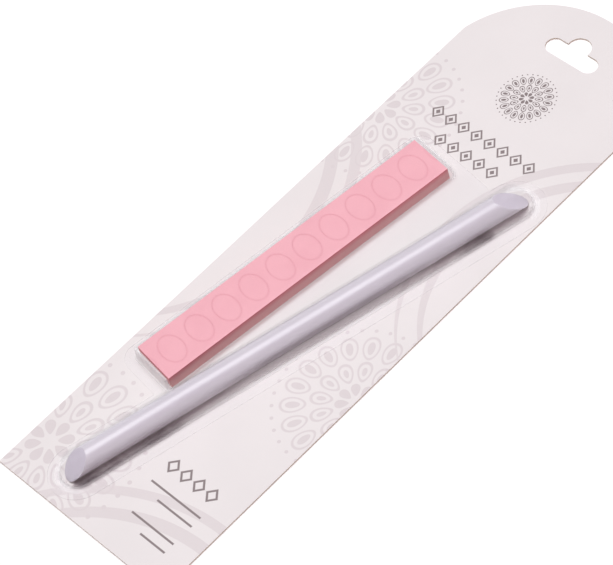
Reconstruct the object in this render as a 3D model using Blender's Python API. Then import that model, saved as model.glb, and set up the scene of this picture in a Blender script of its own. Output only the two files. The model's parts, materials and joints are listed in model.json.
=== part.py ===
"""A carded cuticle pusher set, as it hangs in a shop.

A printed card carries a clear blister. Under the blister lie a round plastic pusher, cut to a slanted flat
at each end, and a stack of carrier sheets. Each sheet holds a row of oval abrasive tabs, which stick to the
pusher's flats one at a time.

The card lies on its back: X runs across it, Y up it, and Z out of its printed face. The origin lies under
the middle of the card, on its back face. Lengths are in metres, and angles in radians.
"""
import math

import bmesh
import bpy
from mathutils import Matrix, Vector

MM = 0.001

# Card: a flat board with a square foot, an arched top and a hang hole.
CARD_WIDTH = 68.0 * MM
CARD_HEIGHT = 220.9 * MM
CARD_THICKNESS = 0.6 * MM
ARCH_RISE = 27.0 * MM            # from the shoulders up to the top of the arch
SLOT_DROP = 16.5 * MM            # from the top of the arch down to the middle of the hang slot
SLOT_LENGTH = 19.3 * MM
SLOT_HEIGHT = 5.8 * MM
BUMP_RISE = 3.4 * MM             # from the middle of the slot up to the centre of its round bump
BUMP_RADIUS = 3.85 * MM

# Pusher: a round rod. Its lower tip is placed from the card's left edge and foot.
ROD_DIAMETER = 7.6 * MM
ROD_LENGTH = 153.9 * MM
ROD_LEFT = 20.35 * MM
ROD_FOOT = 7.95 * MM
ROD_LEAN = math.radians(14.75)   # towards the card's right, going up
LOWER_CUT = math.radians(44.0)   # between the flat and the rod's axis
UPPER_CUT = math.radians(37.0)
ROD_SEAT_GAP = 0.1 * MM          # between the rod and the card

# Tab sheets: a stack of carriers. Their corner nearest the rod is placed from the rod.
SHEET_COUNT = 5
SHEET_WIDTH = 15.4 * MM
SHEET_LENGTH = 102.3 * MM
LINER_THICKNESS = 0.14 * MM
ABRASIVE_THICKNESS = 0.74 * MM
SHEET_GAP = 0.02 * MM            # between one sheet and the next, and under each tab
SHEET_LEAN = math.radians(7.56)  # towards the card's right, going up
SHEET_ALONG = 39.1 * MM          # from the rod's lower tip up to that corner, along the rod
SHEET_ASIDE = 4.5 * MM           # from the rod's side out to that corner

# Tabs: ovals that fit the pusher's flats, kiss cut in a row along each sheet.
TAB_COUNT = 10
TAB_END_ROOM = 3.225 * MM        # from each end of a sheet to its nearest tab
TAB_WIDTH = 7.2 * MM             # along the sheet
TAB_HEIGHT = 10.7 * MM           # across the sheet
KISS_CUT = 0.08 * MM             # width of the cut around a tab

# Blister: one formed film, with a raised pod over the rod and one over the sheets.
FILM_THICKNESS = 0.3 * MM
FLANGE_WIDTH = 3.8 * MM          # from the foot of a pod's wall out to the flange's edge
SEAL_GAP = 0.05 * MM             # sealing lacquer between the flange and the card
FOOT_RADIUS = 0.6 * MM           # bend between the flange and a wall, on its outside
ROD_END_ROOM = 1.3 * MM          # from the rod's tip to the foot of its wall
ROD_TOP_ROOM = 0.35 * MM         # between the rod and the round crown over it
ROD_POD_DRAFT = math.radians(16.0)
ROD_POD_RIDGE = 0.2 * MM         # width of the flat along the top of the rod's pod
SHEET_SIDE_ROOM = 0.7 * MM
SHEET_END_ROOM = 1.5 * MM
SHEET_TOP_ROOM = 0.5 * MM
SHEET_POD_DRAFT = math.radians(5.0)
SHEET_POD_CORNER = 1.2 * MM      # upright corners of the sheets' pod, inside
SHEET_POD_EDGE = 0.8 * MM        # rounding around the top of the sheets' pod, inside
TIGHTEST_CORNER = 0.1 * MM

# How finely round stretches are divided.
ROD_SIDES = 48
OVAL_SIDES = 24
ARCH_STEPS = 28
HOLE_STEPS = 10
POD_END_STEPS = 14
POD_CORNER_STEPS = 4
BEND_STEPS = 3
CROWN_STEPS = 6
SHARP_ANGLE = math.radians(35.0)  # edges that turn more than this are drawn sharp

# Places that follow from the sizes above.
ROD_RADIUS = ROD_DIAMETER / 2
SHEET_PITCH = LINER_THICKNESS + ABRASIVE_THICKNESS + SHEET_GAP
STACK_HEIGHT = SHEET_COUNT * SHEET_PITCH
TAB_PITCH = (SHEET_LENGTH - 2 * TAB_END_ROOM - TAB_WIDTH) / (TAB_COUNT - 1)
SHEET_TURN = ROD_LEAN - SHEET_LEAN
BEND_CENTRE = FOOT_RADIUS + FILM_THICKNESS
ROD_ROOM = ROD_SEAT_GAP + ROD_DIAMETER + ROD_TOP_ROOM - SEAL_GAP
ROD_CROWN = ROD_RADIUS + ROD_TOP_ROOM
SHEET_ROOM = STACK_HEIGHT + SHEET_TOP_ROOM - SEAL_GAP
HINGE_TO_TIP = FLANGE_WIDTH + ROD_END_ROOM


def clear_scene():
    """Remove every object, so that the model starts from nothing."""
    for old in list(bpy.data.objects):
        bpy.data.objects.remove(old, do_unlink=True)


def material(name, colour, roughness, metallic=0.0, alpha=1.0):
    """A plain surface of one colour."""
    made = bpy.data.materials.new(name)
    made.use_nodes = True
    shader = made.node_tree.nodes["Principled BSDF"]
    shader.inputs["Base Color"].default_value = (*colour, 1.0)
    shader.inputs["Roughness"].default_value = roughness
    shader.inputs["Metallic"].default_value = metallic
    shader.inputs["Alpha"].default_value = alpha
    made.diffuse_color = (*colour, alpha)
    return made


def add_object(name, bm, surface, matrix, parent=None):
    """Turn a working mesh into a named object with its faces pointing out."""
    bmesh.ops.recalc_face_normals(bm, faces=bm.faces)
    mesh = bpy.data.meshes.new(name)
    bm.to_mesh(mesh)
    bm.free()
    mesh.shade_smooth()
    mesh.set_sharp_from_angle(angle=SHARP_ANGLE)
    if surface:
        mesh.materials.append(surface)
    made = bpy.data.objects.new(name, mesh)
    bpy.context.scene.collection.objects.link(made)
    made.parent = parent
    made.matrix_local = matrix
    return made


def add_cutter(name, bm, parent):
    """A shape that only joins or cuts its parent, and isn't a piece of the set."""
    made = add_object(name, bm, None, Matrix(), parent)
    made.hide_render = True
    made.display_type = "WIRE"
    return made


def combine(target, tool, operation):
    """Join a tool to a target, or cut it away."""
    step = target.modifiers.new(f"{operation.lower()}_{tool.name}", "BOOLEAN")
    step.operation = operation
    step.solver = "EXACT"
    step.object = tool


def arc(centre, radius, start, end, steps):
    """Points along a round stretch, from one angle to another."""
    angles = [start + (end - start) * i / steps for i in range(steps + 1)]
    return [(centre[0] + radius * math.cos(a), centre[1] + radius * math.sin(a)) for a in angles]


def stadium(half_width, low, high, steps):
    """A slot along Y with round ends, from its low end to its high end."""
    top = arc((0.0, high - half_width), half_width, 0.0, math.pi, steps)
    bottom = arc((0.0, low + half_width), half_width, math.pi, math.tau, steps)
    return top + bottom


def rounded_rectangle(half_width, half_length, corner, steps):
    """A rectangle about the origin with round corners."""
    corner = max(corner, TIGHTEST_CORNER)
    points = []
    for turn, (side, end) in enumerate(((1, 1), (-1, 1), (-1, -1), (1, -1))):
        centre = (side * (half_width - corner), end * (half_length - corner))
        start = turn * math.pi / 2
        points += arc(centre, corner, start, start + math.pi / 2, steps)
    return points


def oval(width, height, middle=(0.0, 0.0)):
    """An ellipse with its height along X and its width along Y."""
    angles = [math.tau * i / OVAL_SIDES for i in range(OVAL_SIDES)]
    return [(middle[0] + height / 2 * math.cos(a), middle[1] + width / 2 * math.sin(a)) for a in angles]


def ring(bm, outline, height):
    """Corners of an outline, at one height."""
    return [bm.verts.new((x, y, height)) for x, y in outline]


def walls(bm, low, high):
    """Faces between two rings of equal count."""
    for i in range(len(low)):
        j = (i + 1) % len(low)
        bm.faces.new((low[i], low[j], high[j], high[i]))


def stack(outlines):
    """A closed body through a list of outlines, each with its height, from the bottom up."""
    bm = bmesh.new()
    rings = [ring(bm, outline, height) for outline, height in outlines]
    bm.faces.new(rings[0])
    for low, high in zip(rings, rings[1:]):
        walls(bm, low, high)
    bm.faces.new(rings[-1])
    return bm


def plate(outline, low, high):
    """A flat body of one outline."""
    return stack([(outline, low), (outline, high)])


def card_outline():
    """The card seen from its face: a square foot, straight sides and an arch between the shoulders."""
    half = CARD_WIDTH / 2
    foot = -CARD_HEIGHT / 2
    top = CARD_HEIGHT / 2
    radius = (half ** 2 + ARCH_RISE ** 2) / (2 * ARCH_RISE)
    centre = (0.0, top - radius)
    shoulder = math.atan2(radius - ARCH_RISE, half)
    arch = arc(centre, radius, shoulder, math.pi - shoulder, ARCH_STEPS)
    return [(-half, foot), (half, foot)] + arch


def build_card(surface):
    """The backing card, with the slot and the round bump of its hang hole cut through."""
    card = add_object("backing_card", plate(card_outline(), 0.0, CARD_THICKNESS), surface, Matrix())
    middle = CARD_HEIGHT / 2 - SLOT_DROP
    lie_across = stadium(SLOT_HEIGHT / 2, -SLOT_LENGTH / 2, SLOT_LENGTH / 2, HOLE_STEPS)
    slot = [(-y, middle + x) for x, y in lie_across]
    bump = arc((0.0, middle + BUMP_RISE), BUMP_RADIUS, 0.0, math.tau, 2 * HOLE_STEPS)[:-1]
    for name, outline in (("hang_slot_cutter", slot), ("hang_bump_cutter", bump)):
        through = plate(outline, -CARD_THICKNESS, 2 * CARD_THICKNESS)
        combine(card, add_cutter(name, through, card), "DIFFERENCE")


def rod_frame():
    """The card's face at the rod's lower tip, with Y along the rod."""
    tip = Vector((ROD_LEFT - CARD_WIDTH / 2, ROD_FOOT - CARD_HEIGHT / 2, CARD_THICKNESS))
    return Matrix.Translation(tip) @ Matrix.Rotation(-ROD_LEAN, 4, "Z")


def cut_flat(bm, tip, cut, heading):
    """Cut one end of the rod to a flat that rises from its tip, and close it."""
    low = Vector((0.0, tip, -ROD_RADIUS))
    normal = Vector((0.0, heading * math.sin(cut), math.cos(cut)))
    parts = bm.verts[:] + bm.edges[:] + bm.faces[:]
    done = bmesh.ops.bisect_plane(bm, geom=parts, plane_co=low, plane_no=normal, clear_outer=True)
    rim = [part for part in done["geom_cut"] if isinstance(part, bmesh.types.BMEdge)]
    bmesh.ops.edgeloop_fill(bm, edges=rim)


def build_pusher(surface):
    """The rod, made longer than it is and cut to its flats. Its origin is on its own axis."""
    bm = bmesh.new()
    spare = ROD_DIAMETER
    lie_down = Matrix.Translation((0.0, ROD_LENGTH / 2, 0.0)) @ Matrix.Rotation(math.pi / 2, 4, "X")
    bmesh.ops.create_cone(bm, cap_ends=True, segments=ROD_SIDES, radius1=ROD_RADIUS, radius2=ROD_RADIUS,
                          depth=ROD_LENGTH + 2 * spare, matrix=lie_down)
    cut_flat(bm, 0.0, LOWER_CUT, -1)
    cut_flat(bm, ROD_LENGTH, UPPER_CUT, 1)
    lift = Matrix.Translation((0.0, 0.0, ROD_SEAT_GAP + ROD_RADIUS))
    add_object("pusher", bm, surface, rod_frame() @ lift)


def sheet_place():
    """The middle of the tab sheets in the rod's frame: their near lower corner stands beside the rod."""
    corner = Matrix.Translation((-(ROD_RADIUS + SHEET_ASIDE), SHEET_ALONG, 0.0))
    turn = Matrix.Rotation(SHEET_TURN, 4, "Z")
    return corner @ turn @ Matrix.Translation((-SHEET_WIDTH / 2, SHEET_LENGTH / 2, 0.0))


def tab_middles():
    """Middles of a sheet's tabs, along its length."""
    return [(i - (TAB_COUNT - 1) / 2) * TAB_PITCH for i in range(TAB_COUNT)]


def carrier_body():
    """One carrier: a liner with the abrasive left around the tabs, so that each tab has its own recess."""
    bm = bmesh.new()
    half_x, half_y = SHEET_WIDTH / 2, SHEET_LENGTH / 2
    outline = [(-half_x, -half_y), (half_x, -half_y), (half_x, half_y), (-half_x, half_y)]
    top = LINER_THICKNESS + ABRASIVE_THICKNESS
    under = ring(bm, outline, 0.0)
    rim = ring(bm, outline, top)
    bm.faces.new(under)
    walls(bm, under, rim)
    openings = [rim]
    for middle in tab_middles():
        cut = oval(TAB_WIDTH + 2 * KISS_CUT, TAB_HEIGHT + 2 * KISS_CUT, (0.0, middle))
        floor = ring(bm, cut, LINER_THICKNESS)
        mouth = ring(bm, cut, top)
        bm.faces.new(floor)
        walls(bm, floor, mouth)
        openings.append(mouth)
    edges = []
    for loop in openings:
        edges += [bm.edges.get((loop[i - 1], loop[i])) for i in range(len(loop))]
    bmesh.ops.triangle_fill(bm, edges=edges, use_beauty=True)
    return bm


def build_sheets(carrier_surface, tab_surface):
    """The stack of carriers with their tabs. Sheet 1 is the one on top."""
    frame = bpy.data.objects.new("tab_pad_frame", None)
    bpy.context.scene.collection.objects.link(frame)
    frame.matrix_world = rod_frame() @ sheet_place()
    for number in range(1, SHEET_COUNT + 1):
        base = SHEET_GAP + (SHEET_COUNT - number) * SHEET_PITCH
        level = Matrix.Translation((0.0, 0.0, base))
        add_object(f"sheet_{number}_carrier", carrier_body(), carrier_surface, level, frame)
        low = LINER_THICKNESS + SHEET_GAP
        high = LINER_THICKNESS + ABRASIVE_THICKNESS
        for place, middle in enumerate(tab_middles(), start=1):
            body = plate(oval(TAB_WIDTH, TAB_HEIGHT), low, high)
            step = level @ Matrix.Translation((0.0, middle, 0.0))
            add_object(f"sheet_{number}_tab_{place:02d}", body, tab_surface, step, frame)


def crown_inset(height, crown, draft):
    """How far in from the foot of a drafted wall its round crown is centred."""
    return crown / math.cos(draft) + (height - crown) * math.tan(draft)


def wall_profile(height, crown, draft, skin):
    """Outsets and heights up a pod's wall: the bend at its foot, the drafted side and the round crown.

    skin is how far the face stands off the inside of the film: nothing inside, its thickness outside.
    """
    bend = BEND_CENTRE - skin
    points = []
    for i in range(BEND_STEPS + 1):
        angle = math.pi / 2 * i / BEND_STEPS
        z = BEND_CENTRE - bend * math.cos(angle)
        points.append((BEND_CENTRE - bend * math.sin(angle) - z * math.tan(draft), z))
    inset = crown_inset(height, crown, draft)
    reach = crown + skin
    for i in range(CROWN_STEPS + 1):
        angle = draft + (math.pi / 2 - draft) * i / CROWN_STEPS
        points.append((reach * math.cos(angle) - inset, height - crown + reach * math.sin(angle)))
    return points


def pod(outline_at, profile, base):
    """A solid pod: an outline carried up a wall's profile, and taken straight down to its base."""
    foot_outset = profile[0][0]
    levels = [(outline_at(foot_outset), base)]
    levels += [(outline_at(outset), z) for outset, z in profile]
    return stack(levels)


def rod_pod_outline(outset):
    """The rod's pod at an outset from its wall, in the blister's frame."""
    half_width = crown_inset(ROD_ROOM, ROD_CROWN, ROD_POD_DRAFT) + ROD_POD_RIDGE / 2
    low = HINGE_TO_TIP - ROD_END_ROOM - outset
    high = HINGE_TO_TIP + ROD_LENGTH + ROD_END_ROOM + outset
    return stadium(half_width + outset, low, high, POD_END_STEPS)


def in_blister(points):
    """Points about the middle of the tab sheets, moved into the blister's frame."""
    place = Matrix.Translation((0.0, HINGE_TO_TIP, 0.0)) @ sheet_place()
    moved = [place @ Vector((x, y, 0.0)) for x, y in points]
    return [(point.x, point.y) for point in moved]


def sheet_pod_outline(outset):
    """The sheets' pod at an outset from its wall, in the blister's frame."""
    half_width = SHEET_WIDTH / 2 + SHEET_SIDE_ROOM + outset
    half_length = SHEET_LENGTH / 2 + SHEET_END_ROOM + outset
    corner = SHEET_POD_CORNER + outset
    return in_blister(rounded_rectangle(half_width, half_length, corner, POD_CORNER_STEPS))


def sheet_flange_outline():
    """The flange around the sheets' pod, carried across to the middle of the rod's pod."""
    half_width = SHEET_WIDTH / 2 + SHEET_SIDE_ROOM + FLANGE_WIDTH
    half_length = SHEET_LENGTH / 2 + SHEET_END_ROOM + FLANGE_WIDTH
    corner = SHEET_POD_CORNER + FLANGE_WIDTH
    far = arc((-half_width + corner, half_length - corner), corner, math.pi / 2, math.pi, POD_CORNER_STEPS)
    near = arc((-half_width + corner, corner - half_length), corner, math.pi, 1.5 * math.pi, POD_CORNER_STEPS)
    left = in_blister(far + near)
    along = Vector((math.cos(SHEET_TURN), math.sin(SHEET_TURN)))
    right = []
    for x, y in (left[-1], left[0]):
        reach = -x / along.x
        right.append((x + reach * along.x, y + reach * along.y))
    return left + right


def build_blister(surface):
    """The formed film: a flange with two raised pods, hollowed from below. Its origin is on its peel line."""
    peel_line = rod_frame() @ Matrix.Translation((0.0, -HINGE_TO_TIP, SEAL_GAP))
    film = add_object("blister", plate(rod_pod_outline(FLANGE_WIDTH), 0.0, FILM_THICKNESS), surface, peel_line)
    web = plate(sheet_flange_outline(), 0.0, FILM_THICKNESS)
    combine(film, add_cutter("sheet_flange_shape", web, film), "UNION")
    pods = (("rod_pod", rod_pod_outline, ROD_ROOM, ROD_CROWN, ROD_POD_DRAFT),
            ("sheet_pod", sheet_pod_outline, SHEET_ROOM, SHEET_POD_EDGE, SHEET_POD_DRAFT))
    for name, outline_at, room, crown, draft in pods:
        outside = pod(outline_at, wall_profile(room, crown, draft, FILM_THICKNESS), FILM_THICKNESS / 2)
        combine(film, add_cutter(f"{name}_outside", outside, film), "UNION")
    for name, outline_at, room, crown, draft in pods:
        inside = pod(outline_at, wall_profile(room, crown, draft, 0.0), -FILM_THICKNESS)
        combine(film, add_cutter(f"{name}_inside", inside, film), "DIFFERENCE")


def main():
    clear_scene()
    build_card(material("printed_board", (0.84, 0.80, 0.79), 0.55))
    build_pusher(material("lavender_plastic", (0.58, 0.53, 0.62), 0.25))
    carrier_surface = material("abrasive_carrier", (0.91, 0.47, 0.53), 0.9)
    tab_surface = material("abrasive_tab", (0.90, 0.45, 0.51), 0.9)
    build_sheets(carrier_surface, tab_surface)
    build_blister(material("clear_film", (0.95, 0.95, 0.96), 0.08, alpha=0.2))


main()
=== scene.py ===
"""Looks for a carded cuticle pusher set: printed card, clear blister, lavender pusher and pink tab sheets.

Each operator models one piece, or one group of like pieces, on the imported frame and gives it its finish.
Lengths are in metres. Print is laid out in millimetres from the middle of the card.
"""
import json
import math
from functools import reduce
from operator import or_

import bmesh
import bpy
from bpy.props import FloatProperty, FloatVectorProperty, PointerProperty
from mathutils import Matrix, Vector


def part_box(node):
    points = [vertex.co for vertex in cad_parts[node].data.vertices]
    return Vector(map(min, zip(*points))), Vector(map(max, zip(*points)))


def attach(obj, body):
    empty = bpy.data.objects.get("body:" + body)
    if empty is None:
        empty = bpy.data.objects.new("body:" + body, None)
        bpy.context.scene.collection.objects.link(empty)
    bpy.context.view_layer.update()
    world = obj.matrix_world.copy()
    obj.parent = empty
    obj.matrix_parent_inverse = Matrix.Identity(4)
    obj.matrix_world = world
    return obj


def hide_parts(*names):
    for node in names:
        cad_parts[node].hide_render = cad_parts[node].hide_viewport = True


bl_info = {
    "name": "Carded Cuticle Pusher Set",
    "version": (1, 0, 0),
    "blender": (4, 5, 0),
    "location": "3D View > Sidebar > Carded Set",
    "description": "Models and finishes a carded cuticle pusher set on its packed frame",
    "category": "Object",
}

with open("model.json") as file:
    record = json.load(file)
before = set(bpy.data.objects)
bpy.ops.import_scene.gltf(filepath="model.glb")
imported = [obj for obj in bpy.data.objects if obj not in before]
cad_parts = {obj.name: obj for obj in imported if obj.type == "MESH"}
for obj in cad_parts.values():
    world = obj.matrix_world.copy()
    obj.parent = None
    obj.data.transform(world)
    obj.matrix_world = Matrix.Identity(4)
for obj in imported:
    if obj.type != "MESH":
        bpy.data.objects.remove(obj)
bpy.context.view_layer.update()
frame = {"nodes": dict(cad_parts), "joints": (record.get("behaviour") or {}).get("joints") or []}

MM = 0.001
UP = Vector((0.0, 0.0, 1.0))
WHITE = (1.0, 1.0, 1.0)
JOINTS = {joint["name"]: joint for joint in frame["joints"]}
SHEET_COUNT = 5
TAB_COUNT = 10


def reach(node, direction):
    """How far a frame node stretches along a direction."""
    along = [vertex.co.dot(direction) for vertex in frame["nodes"][node].data.vertices]
    return max(along) - min(along)


def level_place(origin, along):
    """A place with Z up and Y along a level direction."""
    y = Vector(along).normalized()
    place = Matrix((y.cross(UP), y, UP)).transposed().to_4x4()
    place.translation = origin
    return place


# Places and sizes read from the frame.
CARD_LOW, CARD_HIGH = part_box("backing_card")
CARD_WIDTH = CARD_HIGH.x - CARD_LOW.x
CARD_THICKNESS = CARD_HIGH.z - CARD_LOW.z

ROD_AXIS = Vector(JOINTS["pusher_roll"]["axis"])
ROD_PLACE = level_place(JOINTS["pusher_roll"]["pos_m"], ROD_AXIS)
ROD_LENGTH = reach("pusher", ROD_AXIS)
ROD_RADIUS = reach("pusher", UP) / 2

SHEET_AXIS = Vector(JOINTS["tab_pad_slide"]["axis"])
SHEET_ACROSS = SHEET_AXIS.cross(UP)
SHEET_LOW, SHEET_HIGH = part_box("sheet_1_carrier")
SHEET_MIDDLE = (SHEET_LOW + SHEET_HIGH) / 2
SHEET_PLACE = level_place((SHEET_MIDDLE.x, SHEET_MIDDLE.y, SHEET_LOW.z), SHEET_AXIS)
SHEET_WIDTH = reach("sheet_1_carrier", SHEET_ACROSS)
SHEET_LENGTH = reach("sheet_1_carrier", SHEET_AXIS)
SHEET_THICKNESS = SHEET_HIGH.z - SHEET_LOW.z
SHEET_PITCH = SHEET_LOW.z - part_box("sheet_2_carrier")[0].z

TAB_LOW, TAB_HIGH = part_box("sheet_1_tab_01")
TAB_ACROSS = reach("sheet_1_tab_01", SHEET_ACROSS)
TAB_ALONG = reach("sheet_1_tab_01", SHEET_AXIS)
TAB_PITCH = (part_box("sheet_1_tab_02")[0] - TAB_LOW).dot(SHEET_AXIS)

PEEL_PLACE = level_place(JOINTS["blister_peel"]["pos_m"], ROD_AXIS)
HINGE_TO_TIP = (ROD_PLACE.translation - PEEL_PLACE.translation).dot(ROD_AXIS)


def length(name, default, description):
    """A size that a user can change."""
    return FloatProperty(name=name, description=description, default=default, min=0.0, precision=5,
                         subtype="DISTANCE", unit="LENGTH")


def colour(name, default, description):
    """A colour that a user can change."""
    return FloatVectorProperty(name=name, description=description, default=default, size=3,
                               min=0.0, max=1.0, subtype="COLOR")


def angle(name, degrees, description):
    """An angle that a user can change."""
    return FloatProperty(name=name, description=description, default=math.radians(degrees), subtype="ANGLE",
                         unit="ROTATION")


def share(name, default, description, most=1.0):
    """A plain number that a user can change."""
    return FloatProperty(name=name, description=description, default=default, min=0.0, max=most,
                         subtype="FACTOR")


class CardSettings(bpy.types.PropertyGroup):
    """Sizes and colours of the backing card."""
    arch_rise: length("Arch rise", 27.0 * MM, "From the shoulders up to the top of the arch")
    slot_drop: length("Slot drop", 16.5 * MM, "From the top of the arch down to the hang slot's middle")
    slot_length: length("Slot length", 19.3 * MM, "Width of the hang slot, end to end")
    slot_height: length("Slot height", 5.8 * MM, "Height of the hang slot")
    bump_rise: length("Bump rise", 3.4 * MM, "From the slot's middle up to the centre of its round bump")
    bump_radius: length("Bump radius", 3.85 * MM, "Radius of the round bump over the hang slot")
    edge_round: length("Edge rounding", 0.07 * MM, "Rounding that the die leaves along the card's edges")
    board: colour("Board", (0.85, 0.811, 0.796), "Printed ground of the card's face")
    tone: colour("Tone print", (0.725, 0.665, 0.665), "Pale rosettes over the ground")
    ink: colour("Ink", (0.225, 0.18, 0.18), "Dark ornaments")
    core: colour("Core", (0.56, 0.47, 0.39), "Cut edge of the board")
    back: colour("Back", (0.74, 0.72, 0.69), "Uncoated back of the board")
    gloss: share("Roughness", 0.42, "Roughness of the coated face")


class PusherSettings(bpy.types.PropertyGroup):
    """Sizes and colours of the pusher."""
    lower_cut: angle("Lower flat", 44.0, "Between the lower flat and the rod's axis")
    upper_cut: angle("Upper flat", 37.0, "Between the upper flat and the rod's axis")
    rim_round: length("Rim rounding", 0.16 * MM, "Rounding around the flats")
    body: colour("Plastic", (0.695, 0.658, 0.705), "Lavender plastic")
    cloud: colour("Flow clouds", (0.65, 0.607, 0.665), "Deeper streaks left by the moulding flow")
    # Painted shade on the flats: a darker colour that keeps them from reading brighter than the rod.
    flat_shade: colour("Flats", (0.65, 0.598, 0.685), "Duller plastic of the flats")
    depth: length("Light depth", 4.5 * MM, "How far light spreads inside the plastic")
    gloss: share("Roughness", 0.33, "Roughness of the moulded side")
    flat_gloss: share("Flats' roughness", 0.36, "Roughness of the flats")


class SheetSettings(bpy.types.PropertyGroup):
    """Sizes and colours of the tab sheets."""
    kiss_cut: length("Kiss cut", 0.02 * MM, "Width of the cut around a tab")
    liner: length("Liner", 0.14 * MM, "Thickness of the release liner under a sheet")
    edge_round: length("Edge rounding", 0.025 * MM, "Rounding along the sheets' and the tabs' edges")
    pink: colour("Abrasive", (0.955, 0.505, 0.555), "Pink abrasive")
    grit: colour("Grit", (0.86, 0.40, 0.46), "Darker grains in the abrasive")
    bright: colour("Bright grit", (0.97, 0.62, 0.66), "Pale grains in the abrasive")
    # Painted shade on the stack's cut sides: darker on the upper sheets, lighter on the lower ones as if lit
    # by light bounced off the card. The liner's edge is painted in the same shade.
    shaded_upper_side: colour("Upper cut side", (0.85, 0.225, 0.255), "Cut sides of the upper sheets")
    shaded_lower_side: colour("Lower cut side", (0.90, 0.45, 0.44), "Cut sides of the lower sheets")
    shaded_liner_edge: colour("Liner paper", (0.68, 0.50, 0.485), "Edge of the release liner")


class FilmSettings(bpy.types.PropertyGroup):
    """Sizes and colours of the blister."""
    thickness: length("Film", 0.3 * MM, "Thickness of the film")
    flange: length("Flange", 3.8 * MM, "From the foot of a pod's wall out to the flange's edge")
    foot_radius: length("Foot bend", 0.6 * MM, "Bend between the flange and a wall, on its outside")
    rod_end_room: length("Rod end room", 1.3 * MM, "From the rod's tip to the foot of its wall")
    rod_top_room: length("Rod top room", 0.35 * MM, "Between the rod and the round crown over it")
    rod_room: length("Rod pod height", 8.0 * MM, "Height inside the rod's pod")
    rod_draft: angle("Rod pod draft", 16.0, "Lean of the walls of the rod's pod")
    rod_ridge: length("Rod pod ridge", 0.2 * MM, "Width of the flat along the top of the rod's pod")
    sheet_side_room: length("Sheet side room", 0.7 * MM, "From the sheets' sides to their wall, inside")
    sheet_end_room: length("Sheet end room", 1.5 * MM, "From the sheets' ends to their wall, inside")
    sheet_room: length("Sheet pod height", 4.95 * MM, "Height inside the sheets' pod")
    sheet_draft: angle("Sheet pod draft", 5.0, "Lean of the walls of the sheets' pod")
    sheet_corner: length("Sheet pod corner", 1.2 * MM, "Upright corners of the sheets' pod, inside")
    sheet_edge: length("Sheet pod edge", 0.5 * MM, "Rounding around the top of the sheets' pod, inside")
    tint: colour("Tint", (0.998, 0.998, 1.0), "What is left of the light after one face of the film")
    # Painted shadow: the tint the film lays over what lies behind it, to deepen the shade beside the rod.
    shadow_tint: colour("Dusk", (0.50, 0.46, 0.48), "What is left of the light where the film is steep or rippled")
    # Painted highlights and reflections, with some real whitening of stretched film: the white the film
    # shows on its foot, rims, end walls and middle stretch.
    haze_and_highlight: colour("Haze", (0.97, 0.96, 0.96), "White bloom where the film was stretched")
    gloss: share("Roughness", 0.06, "Roughness of the film")


class StageSettings(bpy.types.PropertyGroup):
    """Floor, light and camera."""
    floor: colour("Floor", (0.95, 0.95, 0.945), "Plain pale floor")
    lift: share("Floor lift", 0.12, "White added to the floor where it is seen")
    key_height: length("Key height", 1.2, "Height of the overhead soft box")
    key_across: length("Key across", 0.85, "Length of the soft box across the pusher")
    key_along: length("Key along", 0.9, "Width of the soft box along the pusher")
    key_aside: angle("Key aside", 6.0, "Lean of the soft box from straight above to the pusher's left")
    key_ahead: angle("Key ahead", 1.0, "Lean of the soft box from straight above along the pusher")
    key_tint: colour("Key colour", (0.955, 0.98, 1.0), "Cool white of the soft box")
    left_tint: colour("Left fill colour", (1.0, 0.96, 0.95), "Warm white of the room on the left")
    right_tint: colour("Right fill colour", (1.0, 0.78, 0.86), "Rosy white of the room on the right")
    key_light: share("Key brightness", 5.25, "Brightness of the soft box's face", most=20.0)
    fill_light: share("Fill brightness", 0.25, "Brightness of the room around", most=5.0)
    aim: FloatVectorProperty(name="Aim", description="Point on the card's face that the camera looks at",
                             size=3, default=(-6.261 * MM, -13.335 * MM, 0.6 * MM), subtype="TRANSLATION",
                             unit="LENGTH")
    distance: length("Distance", 0.835886, "From the camera to the point it looks at")
    elevation: angle("Elevation", 52.311, "Height of the camera above the card's plane")
    azimuth: angle("Azimuth", 60.087, "Turn of the camera from the card's foot towards its right side")
    roll: angle("Roll", -18.986, "Turn of the camera about its own line of sight")
    lens: FloatProperty(name="Lens", description="Focal length on a 36 mm wide frame", default=171.5,
                        min=1.0, unit="CAMERA")


class CardedSetSettings(bpy.types.PropertyGroup):
    """All the set's sizes and colours."""
    card: PointerProperty(type=CardSettings, name="Card", description="The backing card")
    pusher: PointerProperty(type=PusherSettings, name="Pusher", description="The pusher")
    sheets: PointerProperty(type=SheetSettings, name="Tab sheets", description="The tab sheets")
    film: PointerProperty(type=FilmSettings, name="Blister", description="The blister")
    stage: PointerProperty(type=StageSettings, name="Stage", description="Floor, light and camera")


def arithmetic(operation, turned=False):
    """A method of a wire that adds a Math node. Turned, the wire is the second term."""
    def method(wire, *others):
        return wire.maths(operation, *((*others, wire) if turned else (wire, *others)))
    return method


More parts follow.
